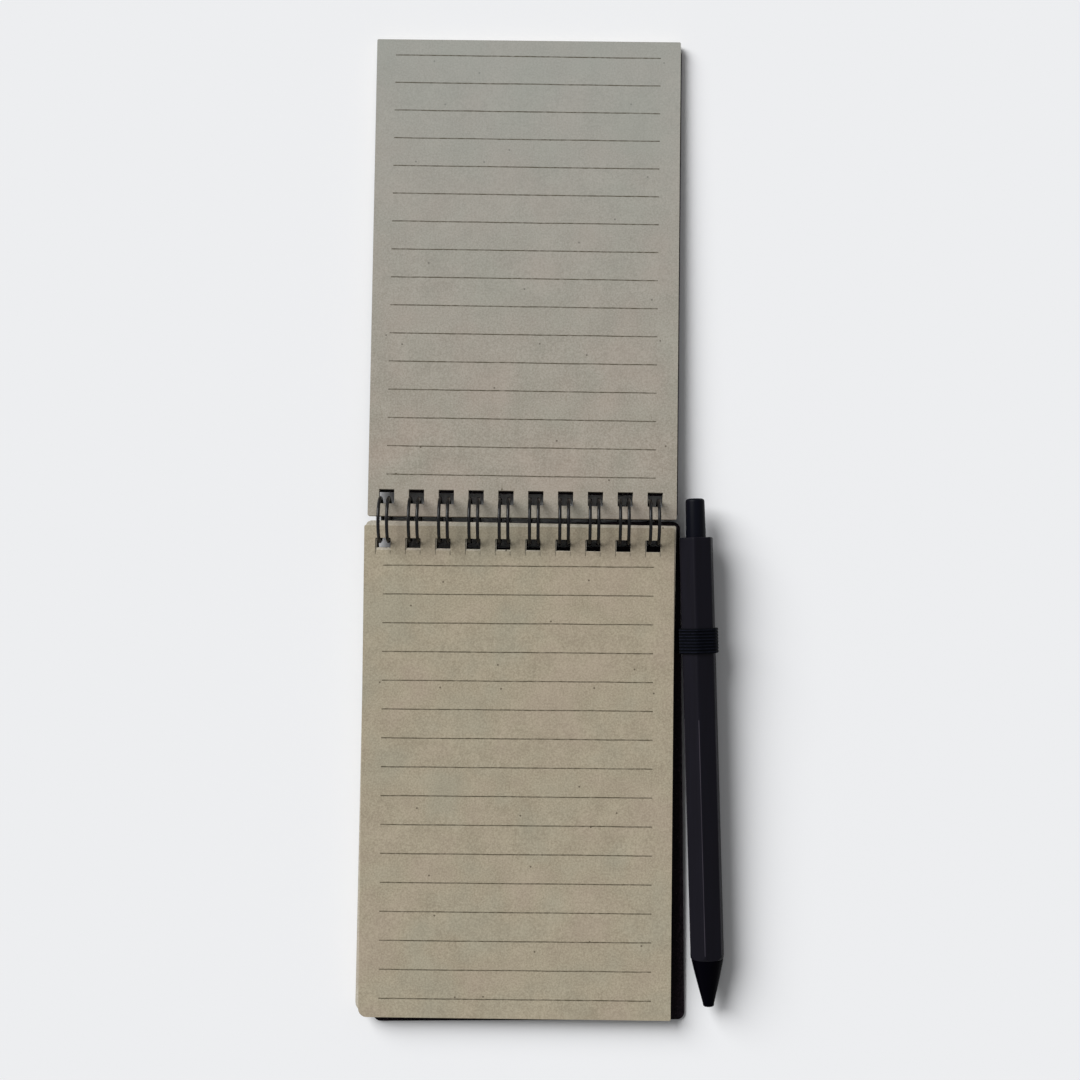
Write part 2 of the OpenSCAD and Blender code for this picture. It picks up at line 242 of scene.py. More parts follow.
def addLights():
    direction = Vector(room["lampFrom"]).normalized()
    data = bpy.data.lights.new("softbox", "SUN")
    data.angle = math.radians(room["lampSpread"])
    data.energy = room["lampShare"] * math.pi / direction.z
    lamp = bpy.data.objects.new("softbox", data)
    bpy.context.collection.objects.link(lamp)
    lamp.location = direction
    lamp.rotation_euler = direction.to_track_quat("Z", "Y").to_euler()
    world = bpy.data.worlds.new("room")
    bpy.context.scene.world = world
    world.use_nodes = True
    tree = world.node_tree
    ground = tree.nodes["Background"]
    path = addNode(tree, "ShaderNodeLightPath")
    seen = path.outputs["Is Camera Ray"]
    for ray in ("Is Transmission Ray", "Is Glossy Ray"):
        seen = calculate(tree, "ADD", seen, path.outputs[ray], clamp=True)
    tree.links.new(blendColours(tree, seen, room["light"], room["tableColour"]), ground.inputs["Color"])
    level = mapRange(tree, seen, 0, 1, 1 - room["lampShare"], 1)
    tree.links.new(level, ground.inputs["Strength"])


def addTable():
    bm = bmesh.new()
    bmesh.ops.create_grid(bm, x_segments=1, y_segments=1, size=room["tableSize"] / 2000)
    mesh = bpy.data.meshes.new("table")
    bm.to_mesh(mesh)
    bm.free()
    top = bpy.data.objects.new("table", mesh)
    bpy.context.collection.objects.link(top)
    material, _, shader, _ = startMaterial("paleTable", Roughness=room["tableRoughness"],
                                           Specular_IOR_Level=0.0)
    shader.inputs["Base Color"].default_value = toLinear(room["tableColour"])
    mesh.materials.append(material)


addLights()
addTable()
print("lights and table set")


# Paper: uncoated recycled writing paper, rolled and left unglazed. It looks soft and matt,
# clouded at 2 to 7 mm, with pulp fibres 1 to 2 mm long and a few dark specks.

paper = {
    "lowerColour": "#aea48f", "lowerShade": "#948a77", "upperColour": "#a8a195", "upperShade": "#8f887c",
    # The stack paper is a lighter copy of the paper: partly the cut edges' own paler look, partly painted
    # light on the stacks' edges
    "litStackColour": "#bfb9ab", "litStackShade": "#a69f90", "roughness": 0.88, "shine": 0.15,
    "cloud": 7.0, "cloudShare": 0.35, "grain": 0.5, "shadeAt": 0.52, "colourAt": 0.83,
    "bump": 0.22, "bumpDepth": 0.06,
    "mottle": 15.0, "mottleSpread": 0.18, "mottleAmount": 0.2,
    "warmTint": "#ac988c", "coolTint": "#94998b",
    "fibre": 0.9, "fibreWidth": 0.5, "fibreFrom": 0.62, "fibreTo": 0.74, "fibreAmount": 0.2,
    "fibreLays": ((82, 3.0), (101, 4.0), (35, 3.5)),  # direction in degrees, and stretch along it
    "fibreColour": "#7d7361",
    "speckSpacing": 21.0, "speckRadius": 0.34, "speckAmount": 0.8, "speckColour": "#4c4336",
    # A painted tone of the light: the turned leaf is tinted greyer towards its outer end
    "paintedLightTint": "#9ba09d", "paintedLightFrom": 20, "paintedLightTo": 140, "paintedLightAmount": 0.55,
}
rules = {
    "colour": "#453f30", "pitch": 8.1, "width": 0.3, "length": 76.4, "count": 16,
    "soft": 1.5, "solid": 0.6,             # in half widths, where a line ends and where it is full
    "beforeFirst": 0.4, "afterLast": 0.4,  # in pitches, past the outer lines
    "waver": 9, "waverAmount": 0.03, "levelFrom": 0.7,
    "ink": 1.4, "inkFrom": 0.3, "inkTo": 0.6, "inkThin": 0.55, "inkFull": 0.95,
}
lowerRules = {"x": -0.09, "y": -12.95, "turn": 0.11, "side": -1}
upperRules = {"x": 0.31, "y": 12.93, "turn": -0.36, "side": 1}


def pulp(tree, place, light, shade):
    cloud = noise(tree, place, paper["cloud"], 5.0, Roughness=0.62)
    grain = noise(tree, place, paper["grain"], 3.0, Roughness=0.7)
    both = calculate(tree, "MULTIPLY_ADD", cloud, paper["cloudShare"], grain)
    spread = mapRange(tree, both, paper["shadeAt"], paper["colourAt"])
    colour = blendColours(tree, spread, shade, light)
    mottle = noise(tree, place, paper["mottle"], 2.0)
    middle = 0.5
    for side, tint in ((1, "warmTint"), (-1, "coolTint")):  # the dye took unevenly
        full = middle + side * paper["mottleSpread"]
        amount = mapRange(tree, mottle, middle, full, 0, paper["mottleAmount"])
        colour = blendColours(tree, amount, colour, paper[tint])
    for direction, stretch in paper["fibreLays"]:  # fibres lie mostly along the sheet
        laid = addNode(tree, "ShaderNodeMapping",
                       {"vector_type": "TEXTURE", "Rotation": (0, 0, math.radians(direction)),
                        "Scale": (stretch, paper["fibreWidth"], 1)},
                       {"Vector": place})
        threads = noise(tree, laid.outputs[0], paper["fibre"], 1.5, Distortion=0.6)
        fine = mapRange(tree, threads, paper["fibreFrom"], paper["fibreTo"], 0, paper["fibreAmount"])
        colour = blendColours(tree, fine, colour, paper["fibreColour"])
    specks = scatteredSpecks(tree, place, paper["speckSpacing"], paper["speckRadius"],
                             paper["speckAmount"])
    return blendColours(tree, specks, colour, paper["speckColour"]), grain


def ruledLines(tree, place, rule):  # how strongly the ink covers, 0 on bare paper
    centred = addNode(tree, "ShaderNodeMapping",
                      {"vector_type": "TEXTURE", "Location": framePoint(rule["x"], rule["y"]),
                       "Rotation": (0, 0, math.radians(rule["turn"]))},
                      {"Vector": place})
    axes = addNode(tree, "ShaderNodeSeparateXYZ", None, {"Vector": centred.outputs[0]})
    along = calculate(tree, "MULTIPLY", axes.outputs["Y"], frequency(rules["pitch"]) * rule["side"])
    waver = noise(tree, place, rules["waver"], 3.0)
    along = calculate(tree, "MULTIPLY_ADD", waver, rules["waverAmount"], along)
    fromLine = calculate(tree, "PINGPONG", along, 0.5)
    fromMiddle = calculate(tree, "ABSOLUTE", axes.outputs["X"])
    half = rules["width"] / rules["pitch"] / 2
    ink = noise(tree, place, rules["ink"], 4.0)
    masks = (
        calculate(tree, "LESS_THAN", fromMiddle, rules["length"] / 2000),
        calculate(tree, "GREATER_THAN", along, -rules["beforeFirst"]),
        calculate(tree, "LESS_THAN", along, rules["count"] - 1 + rules["afterLast"]),
        calculate(tree, "GREATER_THAN", levelness(tree), rules["levelFrom"]),
        mapRange(tree, ink, rules["inkFrom"], rules["inkTo"], rules["inkThin"], rules["inkFull"]),
    )
    covered = mapRange(tree, fromLine, half * rules["soft"], half * rules["solid"])
    for mask in masks:
        covered = calculate(tree, "MULTIPLY", covered, mask)
    return covered


def paperMaterial(name, light, shade, rule=None):
    material, tree, shader, place = startMaterial(name, Roughness=paper["roughness"],
                                                  Specular_IOR_Level=paper["shine"])
    colour, grain = pulp(tree, place, light, shade)
    if rule and rule["side"] > 0:  # painted tone of the light: the turned leaf is tinted greyer towards its outer end
        far = addNode(tree, "ShaderNodeSeparateXYZ", None, {"Vector": place})
        amount = mapRange(tree, far.outputs["Y"], paper["paintedLightFrom"] / 1000, paper["paintedLightTo"] / 1000,
                          0, paper["paintedLightAmount"])
        colour = blendColours(tree, amount, colour, paper["paintedLightTint"])
    if rule:
        colour = blendColours(tree, ruledLines(tree, place, rule), colour, rules["colour"])
    tree.links.new(colour, shader.inputs["Base Color"])
    addBump(tree, shader, grain, paper["bump"], paper["bumpDepth"])
    return material


lowerPaper = paperMaterial("recycledPaperLower", paper["lowerColour"], paper["lowerShade"], lowerRules)
upperPaper = paperMaterial("recycledPaperUpper", paper["upperColour"], paper["upperShade"], upperRules)
# A lighter copy of the paper for the stacks' leaves and edges: partly their own paler look, partly
# painted light
litStackPaper = paperMaterial("recycledPaperStackLit", paper["litStackColour"], paper["litStackShade"])


# Sheets: every leaf of the two stacks, each punched like the solid it stands for

sheets = {
    "width": 87.6, "length": 138, "margin": 3.5, "shift": 0.4, "corner": 0.4, "cornerSteps": 5,
    "loops": 10, "pitch": 8.467, "holeWidth": 4.35, "holeLength": 4.1, "holeSteps": 2,
    "holeCorner": 0.25, "farCorner": 0.05,  # radii by the wire, and at the hole's other end
    "leaf": 0.062,  # thickness; the leaves lie a little further apart than that
    "slit": 0.16, "slitLength": 1.3, "flapShort": 0.7,  # the punch left a flap in the top leaves' holes
}


def roundedLoop(bm, corners, radii, segments):
    face = bm.faces.new([bm.verts.new((x, y, 0)) for x, y in corners])
    for (x, y), radius in zip(corners, radii):
        point = min(bm.verts, key=lambda v: (v.co.x - x) ** 2 + (v.co.y - y) ** 2)
        bmesh.ops.bevel(bm, geom=[point], offset=radius, offset_type="OFFSET", segments=segments,
                        profile=0.5, affect="VERTICES", material=-1)
    bmesh.ops.delete(bm, geom=bm.faces[:], context="FACES_ONLY")


def holeOutline(x, far, slitted):  # with slits, the punched flap stays on beyond the hole
    half, slit = sheets["holeWidth"] / 2, sheets["slit"]
    left, right = x - half, x + half
    near, end = sheets["margin"] * far, (sheets["margin"] + sheets["holeLength"]) * far
    if not slitted:
        return [(left, near), (right, near), (right, end), (left, end)]
    flap = end - sheets["flapShort"] * far
    past = flap + sheets["slitLength"] * far
    return [(left, near), (right, near), (right, past), (right - slit, past), (right - slit, flap),
            (left + slit, flap), (left + slit, past), (left, past)]


def punchedLeaf(far, radii, slitted=False):  # its punched edge on y = 0, reaching to +Y or -Y
    outline = bmesh.new()
    half, shift, length = sheets["width"] / 2, sheets["shift"], sheets["length"] * far
    corners = [(shift - half, 0), (shift + half, 0), (shift + half, length), (shift - half, length)]
    roundedLoop(outline, corners, radii, sheets["cornerSteps"])
    for i in range(sheets["loops"]):
        corners = holeOutline((i - (sheets["loops"] - 1) / 2) * sheets["pitch"], far, slitted)
        holeRadii = [sheets["holeCorner"]] * 2 + [sheets["farCorner"]] * (len(corners) - 2)
        hole = bmesh.new()
        roundedLoop(hole, corners, holeRadii, sheets["holeSteps"])
        part = bpy.data.meshes.new("hole")
        hole.to_mesh(part)
        hole.free()
        outline.from_mesh(part)
        bpy.data.meshes.remove(part)
    bmesh.ops.triangle_fill(outline, use_beauty=True, use_dissolve=False, edges=outline.edges[:])
    made = bmesh.ops.extrude_face_region(outline, geom=outline.faces[:])
    bmesh.ops.translate(outline, vec=(0, 0, sheets["leaf"]), verts=vertsIn(made["geom"]))
    bmesh.ops.recalc_face_normals(outline, faces=outline.faces)
    leaf = bpy.data.meshes.new("leaf")
    outline.to_mesh(leaf)
    outline.free()
    return leaf


def stackLeaves(bm, leaf, count, low, high, placeOf, ruledLeaf):  # one leaf shows its rules
    for k in range(count):
        vertsBefore, facesBefore = len(bm.verts), len(bm.faces)
        bm.from_mesh(leaf)
        bm.verts.ensure_lookup_table()
        bm.faces.ensure_lookup_table()
        height = low + (high - low) * k / count
        bmesh.ops.transform(bm, matrix=moved(0, 0, height) @ placeOf(k / (count - 1)),
                            verts=bm.verts[vertsBefore:])
        for face in bm.faces[facesBefore:]:
            face.material_index = 0 if k == ruledLeaf else 1


def within(reach):  # a random offset to either side
    return random.uniform(-reach, reach)


block = {
    "leaves": 59, "low": -3.0, "high": 0.8, "topLeaves": 5, "edge": 0.511, "topEdge": 1.668,
    "row": 0.1, "topRow": -0.3, "skew": -0.5,
    "scatter": 0.03, "edgeLean": 0.12, "topEdgeLean": 0.1, "edgeScatter": 0.06,
    "wornByWire": 1.7, "wornFoot": 2.7, "topWornFoot": 2.3,  # corner radii on the left
}


def makePageBlock():
    bm = bmesh.new()
    corner = sheets["corner"]
    lower = punchedLeaf(-1, [block["wornByWire"], corner, corner, block["wornFoot"]])
    upper = punchedLeaf(-1, [corner, corner, corner, block["topWornFoot"]], slitted=True)
    lowCount = block["leaves"] - block["topLeaves"]
    split = block["low"] + (block["high"] - block["low"]) * lowCount / block["leaves"]

    def mainPlace(f):  # f runs from 0 at the lowest leaf to 1 at the highest
        drift = within(block["scatter"])
        row = block["row"] + within(block["scatter"])
        edge = -block["edge"] - block["edgeLean"] * f - random.uniform(0, block["edgeScatter"])
        return moved(row, 0, 0) @ turned(block["skew"] + drift, "Z") @ moved(0, edge, 0)

    def topPlace(f):
        row = block["topRow"] + within(block["scatter"]) * (1 - f)
        return moved(row, 0, 0) @ moved(0, -block["topEdge"] + block["topEdgeLean"] * (1 - f), 0)

    stackLeaves(bm, lower, lowCount, block["low"], split, mainPlace, 0)
    stackLeaves(bm, upper, block["topLeaves"], split, block["high"], topPlace, block["topLeaves"] - 1)
    finishPiece("writing_pages", bm, rearPlane, "block", [lowerPaper, litStackPaper],
                replaces=["page_block"], sharp=0)


turnedStack = {
    "leaves": 33, "low": -3.1, "high": -1.0, "edge": 1.055, "row": 0.35, "skew": -0.2,
    "skewScatter": 0.02, "rowScatter": 0.04, "edgeScatter": 0.05,
}


def makeTurnedPages():
    bm = bmesh.new()
    leaf = punchedLeaf(1, [sheets["corner"]] * 4)

    def place(f):
        drift = within(turnedStack["skewScatter"]) * (1 - f)
        row = turnedStack["row"] + within(turnedStack["rowScatter"]) * (1 - f)
        edge = turnedStack["edge"] + random.uniform(-turnedStack["edgeScatter"], 0) * (1 - f)
        return moved(row, 0, 0) @ turned(turnedStack["skew"] + drift, "Z") @ moved(0, edge, 0)

    stackLeaves(bm, leaf, turnedStack["leaves"], turnedStack["low"], turnedStack["high"], place,
                turnedStack["leaves"] - 1)
    finishPiece("turned_leaves", bm, frontPlane, "front", [upperPaper, litStackPaper],
                replaces=["turned_pages"], sharp=0)


makePageBlock()
makeTurnedPages()
print("pages stacked")


# Covers: grey board dyed black and calendered. The face is dull with a fine tooth and pale
# dust specks; the die-cut edge shows the browner core.

cover = {
    "face": "#020103", "faceLight": "#261d23", "edge": "#1c0f0a", "roughness": 0.8, "shine": 0.08,
    "tooth": 0.6, "faceAt": 0.4, "lightAt": 0.7, "bump": 0.35, "bumpDepth": 0.08,
    "speck": "#433a40", "dustSpacing": 4.2, "dustRadius": 0.27, "dustAmount": 0.5, "rimBelow": 0.5,
}


def coverMaterial():
    material, tree, shader, place = startMaterial("dyedBoard", Roughness=cover["roughness"],
                                                  Specular_IOR_Level=cover["shine"])
    tooth = noise(tree, place, cover["tooth"], 4.0, Roughness=0.7)
    spread = mapRange(tree, tooth, cover["faceAt"], cover["lightAt"])
    colour = blendColours(tree, spread, cover["face"], cover["faceLight"])
    dust = scatteredSpecks(tree, place, cover["dustSpacing"], cover["dustRadius"], cover["dustAmount"])
    colour = blendColours(tree, dust, colour, cover["speck"])
    rim = calculate(tree, "LESS_THAN", levelness(tree), cover["rimBelow"])
    tree.links.new(blendColours(tree, rim, colour, cover["edge"]), shader.inputs["Base Color"])
    addBump(tree, shader, tooth, cover["bump"], cover["bumpDepth"])
    return material


def dressNode(name, material):
    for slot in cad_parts[name].material_slots:
        slot.material = material


boardMaterial = coverMaterial()
dressNode("rear_cover", boardMaterial)
dressNode("front_cover", boardMaterial)
print("covers dressed")


# Binding wire: drawn steel in a smooth black nylon coat, which gives a soft narrow streak

wire = {
    "ring": 6.2, "thickness": 0.95, "twin": 2.4, "elbow": 1.0, "stub": 0.6,
    "start": 37, "tip": 376,  # degrees round the ring, from its lowest point
    "sides": 14, "armSteps": 54, "bendSteps": 8,
    "colour": "#020203", "worn": "#08080a", "cloud": 1.2, "shine": 0.2, "smooth": 0.16, "rough": 0.3,
}


def wireMaterial():
    material, tree, shader, place = startMaterial("nylonCoatedSteel", Specular_IOR_Level=wire["shine"])
    shade = noise(tree, place, wire["cloud"], 3.0)
    tree.links.new(blendColours(tree, shade, wire["colour"], wire["worn"]), shader.inputs["Base Color"])
    rough = mapRange(tree, shade, 0, 1, wire["smooth"], wire["rough"])
    tree.links.new(rough, shader.inputs["Roughness"])
    return material


def ringPoint(degrees, x, along=0):  # on the loops' circle, and along its tangent
    ring, angle = wire["ring"], math.radians(degrees)
    return Vector((x, -ring * math.sin(angle) + along * math.cos(angle),
                   -ring * math.cos(angle) - along * math.sin(angle)))


def inwards(degrees):  # from a point of the ring towards its middle
    return Vector((0, math.sin(math.radians(degrees)), math.cos(math.radians(degrees))))


def runStraight(bm, edges, distance):
    made = bmesh.ops.extrude_edge_only(bm, edges=edges)["geom"]
    bmesh.ops.translate(bm, vec=(distance, 0, 0), verts=vertsIn(made))
    return [e for e in edgesIn(made) if len(e.link_faces) == 1]


def makeWire():
    bm = bmesh.new()
    twin, elbow, start, tip = wire["twin"] / 2, wire["elbow"], wire["start"], wire["tip"]
    sweep = math.radians(tip - start)
    quarter, steps = math.pi / 2, wire["bendSteps"]
    first = -(sheets["loops"] - 1) / 2 * sheets["pitch"]
    startAt = ringPoint(start, first - twin - elbow - wire["stub"], elbow)
    made = bmesh.ops.create_circle(bm, cap_ends=True, segments=wire["sides"],
                                   radius=wire["thickness"] / 2,
                                   matrix=Matrix.Translation(startAt) @ turned(90, "Y"))
    edges = runStraight(bm, edgesAt(made["verts"]), wire["stub"])
    link = sheets["pitch"] - wire["twin"] - 2 * elbow
    for i in range(sheets["loops"]):
        x = first + i * sheets["pitch"]
        edges = spun(bm, edges, ringPoint(start, x - twin - elbow), inwards(start), -quarter, steps)
        edges = spun(bm, edges, (0, 0, 0), (1, 0, 0), -sweep, wire["armSteps"])
        edges = spun(bm, edges, ringPoint(tip, x), inwards(tip), 2 * quarter, 2 * steps)
        edges = spun(bm, edges, (0, 0, 0), (1, 0, 0), sweep, wire["armSteps"])
        edges = spun(bm, edges, ringPoint(start, x + twin + elbow), inwards(start), -quarter, steps)
        edges = runStraight(bm, edges, wire["stub"] if i == sheets["loops"] - 1 else link)
    closeRing(bm, edges)
    finishPiece("twin_loop_wire", bm, toTable, "rear", [wireMaterial()],
                replaces=["binding_wire"], sharp=50)


makeWire()
print("wire bent")


# Pen: a six-sided injection-moulded barrel, its corners rounded and its foot turned down to
# the round nose. Heights run along the pen, from the middle of the elastic towards the button.

pen = {
    "x": 50.928, "y": -33.2, "height": 4.718, "lean": 2.0, "roll": 12,
    "cornerRadius": 5.15, "rounding": 0.97, "sides": 144,
}
penPlane = (rearPlane @ moved(pen["x"], pen["y"], pen["height"] - lay["stackLow"])
            @ turned(pen["lean"], "Z") @ turned(-90, "X"))
halfSide = 30  # degrees from a corner of the section to the middle of its side


def sectionOffset(angle):  # degrees from the nearest corner of the six-sided section
    return (angle + 90 + pen["roll"] + halfSide) % (2 * halfSide) - halfSide


def sectionRadius(angle, grow=0.0):  # rounded six-sided section, angle in degrees
    half, offset = math.radians(halfSide), math.radians(sectionOffset(angle))
    corner = pen["cornerRadius"] + grow / math.cos(half)
    rounding = pen["rounding"] + grow
    centre = corner - rounding / math.cos(half)
    touch = math.atan2(rounding * math.sin(half), centre + rounding * math.cos(half))
    if abs(offset) < touch:
        return centre * math.cos(offset) + math.sqrt(rounding ** 2 - (centre * math.sin(offset)) ** 2)
    return corner * math.cos(half) / math.cos(half - abs(offset))


def placeRound(v, z, radiusOf):  # keeps the direction of a point and sets its radius and height
    angle = math.atan2(v.co.y, v.co.x)
    radius = radiusOf(math.degrees(angle))
    v.co = Vector((radius * math.cos(angle), radius * math.sin(angle), z))


def startRing(bm, z, radiusOf, sides):
    verts = bmesh.ops.create_circle(bm, cap_ends=False, segments=sides, radius=1)["verts"]
    for v in verts:
        placeRound(v, z, radiusOf)
    return edgesAt(verts)


def ringAt(bm, edges, z, radiusOf):  # extrudes a ring and sets its radius all round
    made = bmesh.ops.extrude_edge_only(bm, edges=edges)["geom"]
    fresh = set(vertsIn(made))
    for v in fresh:
        placeRound(v, z, radiusOf)
    return [e for e in edgesIn(made) if all(v in fresh for v in e.verts)]


def turnedRings(bm, profile, sides):  # profile holds heights and radii; gives both end rings
    (z, radius), *rest = profile
    first = last = startRing(bm, z, lambda a: radius, sides)
    for z, radius in rest:
        last = ringAt(bm, last, z, lambda a: radius)
    return first, last


# The barrel is satin ABS straight from the mould, with a painted highlight along its six edges.
# The nose is a glossier styrene, and the button is bluish ABS.

plastics = {
    "satinAbsBarrel": {
        "base": "#0c0b10", "light": "#121119", "roughness": 0.42, "shine": 0.06, "grain": 0.3},
    # A painted highlight along the barrel's six edges, as a lighter copy of the barrel plastic
    "paintedHighlightAbsEdge": {
        "base": "#121118", "light": "#454149", "roughness": 0.34, "shine": 0.08, "grain": 0.3},
    "glossStyreneNose": {
        "base": "#010104", "light": "#030207", "roughness": 0.25, "shine": 0.012, "grain": 0.5},
    "satinAbsButton": {
        "base": "#04050a", "light": "#090a14", "roughness": 0.36, "shine": 0.05, "grain": 0.3},
}
moulding = {"cloud": 1.5, "drawn": 0.06, "bump": 0.12, "bumpDepth": 0.03}


def plasticMaterial(name):
    look = plastics[name]
    material, tree, shader, place = startMaterial(name, Roughness=look["roughness"],
                                                  Specular_IOR_Level=look["shine"])
    drawn = addNode(tree, "ShaderNodeMapping", {"Scale": (1, moulding["drawn"], 1)}, {"Vector": place})
    cloud = noise(tree, drawn.outputs[0], moulding["cloud"], 4.0)
    tree.links.new(blendColours(tree, cloud, look["base"], look["light"]), shader.inputs["Base Color"])
    fine = noise(tree, place, look["grain"], 2.0)
    addBump(tree, shader, fine, moulding["bump"], moulding["bumpDepth"])
    return material


barrel = {
    "top": 29.0, "length": 118.0, "bore": 3.4, "collar": 2.95, "collarDepth": 8.0, "collarBreak": 0.1,
    "footRadius": 4.5, "footLip": 0.15, "footStart": 0.1, "footFull": 5.06, "footTurn": 1.5,
    "footCurve": 1.1, "footSteps": 8, "lowRing": 30, "topBreak": 0.3, "topSteps": 4,
    "highlightAbove": 2, "highlightBelow": 22.0, "highlightHalf": 1.3,  # the painted highlight's half width, in degrees
}


def makeBarrel():
    bm = bmesh.new()
    top, foot, topBreak = barrel["top"], barrel["top"] - barrel["length"], barrel["topBreak"]
    collar, collarEnd = barrel["collar"], barrel["top"] - barrel["collarDepth"]
    footGrow = barrel["footFull"] - barrel["footRadius"]
    edges = first = startRing(bm, foot, lambda a: barrel["bore"], pen["sides"])
    edges = ringAt(bm, edges, foot, lambda a: barrel["footRadius"] - barrel["footLip"])
    for k in range(barrel["footSteps"] + 1):
        f = k / barrel["footSteps"]
        limit = barrel["footRadius"] + footGrow * math.sin(math.pi / 2 * f)
        z = foot + barrel["footStart"] + barrel["footTurn"] * f ** barrel["footCurve"]
        edges = ringAt(bm, edges, z, lambda a: min(sectionRadius(a), limit))
    for z in (foot + barrel["lowRing"], -barrel["highlightBelow"], 0, top - 3 * topBreak, top - topBreak):
        edges = ringAt(bm, edges, z, sectionRadius)
    for k in range(1, barrel["topSteps"] + 1):
        angle = math.pi / 2 * k / barrel["topSteps"]
        inset = topBreak * (1 - math.cos(angle))
        z = top - topBreak * (1 - math.sin(angle))
        edges = ringAt(bm, edges, z, lambda a: sectionRadius(a) - inset)
    edges = ringAt(bm, edges, top, lambda a: collar + barrel["collarBreak"])
    edges = ringAt(bm, edges, top - barrel["collarBreak"], lambda a: collar)
    edges = ringAt(bm, edges, collarEnd, lambda a: collar)
    edges = ringAt(bm, edges, collarEnd - ledge, lambda a: barrel["bore"])
    bmesh.ops.bridge_loops(bm, edges=edges + first)
    for face in bm.faces:  # a painted highlight in a thread-wide strip along each edge, below the elastic
        middle = face.calc_center_median()
        fromCorner = abs(sectionOffset(math.degrees(math.atan2(middle.y, middle.x))))
        below = foot + barrel["highlightAbove"] < middle.z < -barrel["highlightBelow"]
        outside = middle.xy.length > barrel["footRadius"]
        face.material_index = 1 if below and outside and fromCorner < barrel["highlightHalf"] else 0
    finishPiece("pen_barrel_shell", bm, penPlane, "rear",
                [plasticMaterial("satinAbsBarrel"), plasticMaterial("paintedHighlightAbsEdge")],
                replaces=["pen_barrel"], sharp=30)


nose = {
    "length": 13.2, "top": 4.46, "end": 1.6, "round": 0.9, "roundInset": 0.35, "roundSteps": 5,
    "swell": 1.08, "coneSteps": 10, "shoulder": 0.15, "shoulderBreak": 0.12, "seamGap": 0.02,
    "spigotLength": 8.0, "mouth": 1.25, "mouthLength": 6.2, "springRoom": 2.5, "sides": 96,
}


def makeNose():  # a tube: spigot inside the barrel, cone outside, spring room and mouth within
    bm = bmesh.new()
    seam = barrel["top"] - barrel["length"]
    spigot, spigotTop = barrel["bore"] - nose["seamGap"], seam + nose["spigotLength"]
    low, shoulder = seam - nose["seamGap"], seam - nose["shoulder"]
    profile = [(spigotTop, nose["springRoom"]), (spigotTop, spigot), (low, spigot),
               (low - ledge, nose["top"] - nose["shoulderBreak"]), (shoulder, nose["top"])]
    end = seam - nose["length"]
    cone = shoulder - end - nose["round"]
    for k in range(1, nose["coneSteps"] + 1):  # a slightly swelling cone
        f = k / nose["coneSteps"]
        radius = nose["top"] + (nose["end"] - nose["top"]) * f ** nose["swell"]
        profile.append((shoulder - cone * f, radius))
    for k in range(1, nose["roundSteps"] + 1):
        angle = math.pi / 2 * k / nose["roundSteps"]
        inset = nose["round"] * (1 - math.cos(angle)) * nose["roundInset"]
        profile.append((end + nose["round"] * (1 - math.sin(angle)), nose["end"] - inset))
    mouthTop = end + nose["mouthLength"]
    profile += [(end + ledge / 2, nose["mouth"]), (mouthTop, nose["mouth"]),
                (mouthTop + ledge, nose["springRoom"])]
    first, last = turnedRings(bm, profile, nose["sides"])
    bmesh.ops.bridge_loops(bm, edges=last + first)
    finishPiece("pen_nose_cone", bm, penPlane, "rear", [plasticMaterial("glossStyreneNose")],
                replaces=["pen_nose"], sharp=40)


button = {
    "radius": 2.8, "length": 11.0, "below": 7.0, "straight": 1, "taper": 0.12, "rim": 0.9,
    "rimSteps": 6, "sides": 64,
}


def makeButton():
    bm = bmesh.new()
    top, radius, rim = barrel["top"] + button["length"], button["radius"], button["rim"]
    slim = radius - button["taper"]
    profile = [(barrel["top"] - button["below"], radius), (barrel["top"] + button["straight"], radius),
               (top - rim, slim)]
    for k in range(1, button["rimSteps"] + 1):
        angle = math.pi / 2 * k / button["rimSteps"]
        profile.append((top - rim * (1 - math.sin(angle)), slim - rim * (1 - math.cos(angle))))
    for ring in turnedRings(bm, profile, button["sides"]):
        closeRing(bm, ring)
    finishPiece("pen_push_button", bm, penPlane, "button", [plasticMaterial("satinAbsButton")],
                replaces=["pen_button"], sharp=40)


makeBarrel()
makeNose()
makeButton()
print("pen made")


# Elastic loop: woven elastic, black polyester over rubber cords that stand up as ribs. It looks
# soft and dull, and the ribs' crowns carry a painted highlight.

elastic = {
    "width": 7.0, "ribs": 8, "low": 0.66, "high": 0.84, "gap": 0.05, "samples": 10, "ribCurve": 0.6,
    "crownHighlightFrom": 0.96, "hem": 0.05,
    "tailLeft": -14.75, "tailRight": -3.2, "tailTop": 3.918, "tailDepth": 0.35,
    "tailBelow": 0.02, "tailGroove": 0.08, "tailSteps": 12,
    # The crowns' two colours below make a painted highlight on the ribs
    "base": "#010204", "light": "#040509", "crownHighlight": "#06070c", "crownHighlightLight": "#1b1d2a",
    "thread": 0.22, "baseAt": 0.35, "lightAt": 0.65, "bump": 0.4, "bumpDepth": 0.06,
    "roughness": 0.75, "shine": 0.03, "sheen": 0.01, "sheenRoughness": 0.4,
}


def elasticMaterial(name, base, light):
    material, tree, shader, place = startMaterial(
        name, Roughness=elastic["roughness"], Specular_IOR_Level=elastic["shine"],
        Sheen_Weight=elastic["sheen"], Sheen_Roughness=elastic["sheenRoughness"])
    threads = noise(tree, place, elastic["thread"], 2.0)
    spread = mapRange(tree, threads, elastic["baseAt"], elastic["lightAt"])
    tree.links.new(blendColours(tree, spread, base, light), shader.inputs["Base Color"])
    addBump(tree, shader, threads, elastic["bump"], elastic["bumpDepth"])
    return material


def ribHeight(z):  # from 0 in a groove to 1 on a rib
    phase = (z / elastic["width"] + 0.5) * elastic["ribs"]
    return abs(math.sin(math.pi * phase)) ** elastic["ribCurve"]


